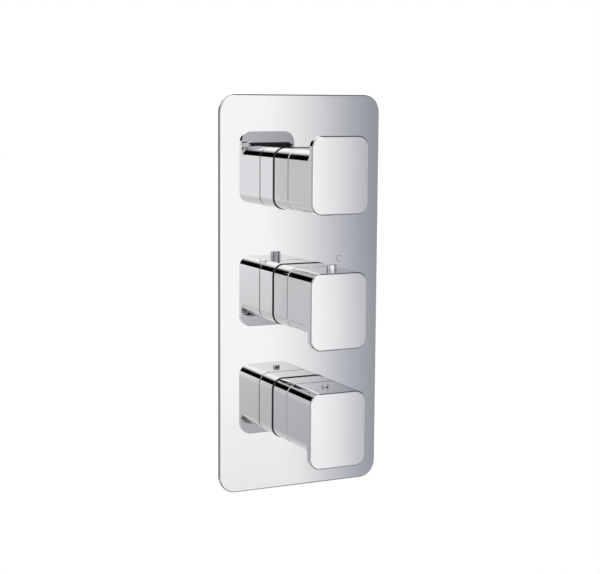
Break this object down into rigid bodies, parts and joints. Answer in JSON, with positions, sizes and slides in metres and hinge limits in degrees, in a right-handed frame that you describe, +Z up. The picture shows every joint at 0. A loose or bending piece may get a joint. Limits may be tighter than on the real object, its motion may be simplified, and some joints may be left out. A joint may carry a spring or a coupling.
{
  "type": "thermostatic shower valve",
  "caption": "Concealed thermostatic shower valve: chrome faceplate with three square lipped knobs, a temperature stop button, and a cast body with inlets and outlets behind.",
  "frame": {"origin": "point where the middle (temperature) handle's axis crosses the wall face, which is the back of the faceplate", "axes": "+Z up, +Y into the wall, so the handles point to -Y; +X is the right as seen from in front"},
  "size_m": [0.133, 0.1465, 0.3],
  "materials": {
    "plate_chrome": "polished",
    "sleeve_chrome": "polished",
    "knob_chrome": "polished",
    "button_chrome": "polished",
    "joint_rubber": "matt",
    "foam_rubber": "matt",
    "seal_rubber": "satin",
    "cast_brass": "as cast",
    "turned_brass": "machined",
    "copper_capsule": "satin",
    "spring_steel": "satin",
    "screw_steel": "satin",
    "sheet_steel": "zinc plated",
    "disc_ceramic": "lapped",
    "white_plastic": "moulded",
    "black_plastic": "moulded"
  },
  "bodies": {
    "valve_and_plate": {"faceplate": "plate_chrome", "faceplate_gasket": "foam_rubber", "upper_sleeve": "sleeve_chrome", "temperature_sleeve": "sleeve_chrome", "lower_sleeve": "sleeve_chrome", "sleeve_gaskets": "joint_rubber", "sleeve_o_rings": "seal_rubber", "shroud_tubes": "turned_brass", "upper_headwork": "turned_brass", "lower_headwork": "turned_brass", "fixed_discs": "disc_ceramic", "disc_seals": "seal_rubber", "headwork_o_rings": "seal_rubber", "cartridge_head": "turned_brass", "cartridge_nut": "turned_brass", "stop_ring": "black_plastic", "cartridge_housing": "white_plastic", "housing_o_rings": "seal_rubber", "cartridge_end_cap": "white_plastic", "filter_screens": "sheet_steel", "return_spring": "spring_steel", "hot_check_cage": "white_plastic", "cold_check_cage": "white_plastic", "hot_check_spring": "spring_steel", "cold_check_spring": "spring_steel", "valve_body": "cast_brass", "wall_bracket": "sheet_steel", "bracket_screws": "screw_steel"},
    "upper_handle": {"upper_knob": "knob_chrome", "upper_spline_adaptor": "black_plastic", "upper_grub_screw": "screw_steel", "upper_spindle": "turned_brass", "upper_circlip": "spring_steel", "upper_spindle_o_ring": "seal_rubber", "upper_rotating_disc": "disc_ceramic"},
    "lower_handle": {"lower_knob": "knob_chrome", "lower_spline_adaptor": "black_plastic", "lower_grub_screw": "screw_steel", "lower_spindle": "turned_brass", "lower_circlip": "spring_steel", "lower_spindle_o_ring": "seal_rubber", "lower_rotating_disc": "disc_ceramic"},
    "temperature_handle": {"temperature_knob": "knob_chrome", "temperature_spline_adaptor": "black_plastic", "temperature_grub_screw": "screw_steel", "temperature_spindle": "turned_brass", "temperature_circlip": "spring_steel", "temperature_spindle_o_ring": "seal_rubber", "stop_spring": "spring_steel"},
    "stop_button": {"stop_button": "button_chrome", "stop_latch": "black_plastic"},
    "thermostat_core": {"pressure_cup": "turned_brass", "overload_spring": "spring_steel", "thrust_washer": "spring_steel", "wax_element": "copper_capsule", "shuttle": "white_plastic", "shuttle_o_ring": "seal_rubber"},
    "hot_check_poppet": {"hot_check_poppet": "white_plastic"},
    "cold_check_poppet": {"cold_check_poppet": "white_plastic"}
  },
  "joints": [
    {"name": "upper_handle_turn", "type": "hinge", "parent": "valve_and_plate", "child": "upper_handle", "pos_m": [0, 0, 0.0875], "axis": [0, 1, 0], "range_deg": [0, 180]},
    {"name": "lower_handle_turn", "type": "hinge", "parent": "valve_and_plate", "child": "lower_handle", "pos_m": [0, 0, -0.0875], "axis": [0, 1, 0], "range_deg": [-180, 0]},
    {"name": "temperature_handle_turn", "type": "hinge", "parent": "valve_and_plate", "child": "temperature_handle", "pos_m": [0, 0, 0], "axis": [0, 1, 0], "range_deg": [-60, 150]},
    {"name": "stop_button_press", "type": "slide", "parent": "temperature_handle", "child": "stop_button", "axis": [0, 0, -1], "range_m": [0, 0.003], "stiffness_N_per_m": 1000, "springref_m": -0.002, "deforming": ["stop_spring"]},
    {"name": "thermostat_core_slide", "type": "slide", "parent": "valve_and_plate", "child": "thermostat_core", "axis": [0, 1, 0], "range_m": [-0.0006, 0.0006], "deforming": ["return_spring"]},
    {"name": "hot_check_open", "type": "slide", "parent": "valve_and_plate", "child": "hot_check_poppet", "axis": [1, 0, 0], "range_m": [0, 0.0024], "stiffness_N_per_m": 200, "springref_m": -0.002, "deforming": ["hot_check_spring"]},
    {"name": "cold_check_open", "type": "slide", "parent": "valve_and_plate", "child": "cold_check_poppet", "axis": [-1, 0, 0], "range_m": [0, 0.0024], "stiffness_N_per_m": 200, "springref_m": -0.002, "deforming": ["cold_check_spring"]}
  ],
  "couplings": [
    {"joint": "thermostat_core_slide", "follows": "temperature_handle_turn", "m_per_rad": -0.000229}
  ]
}
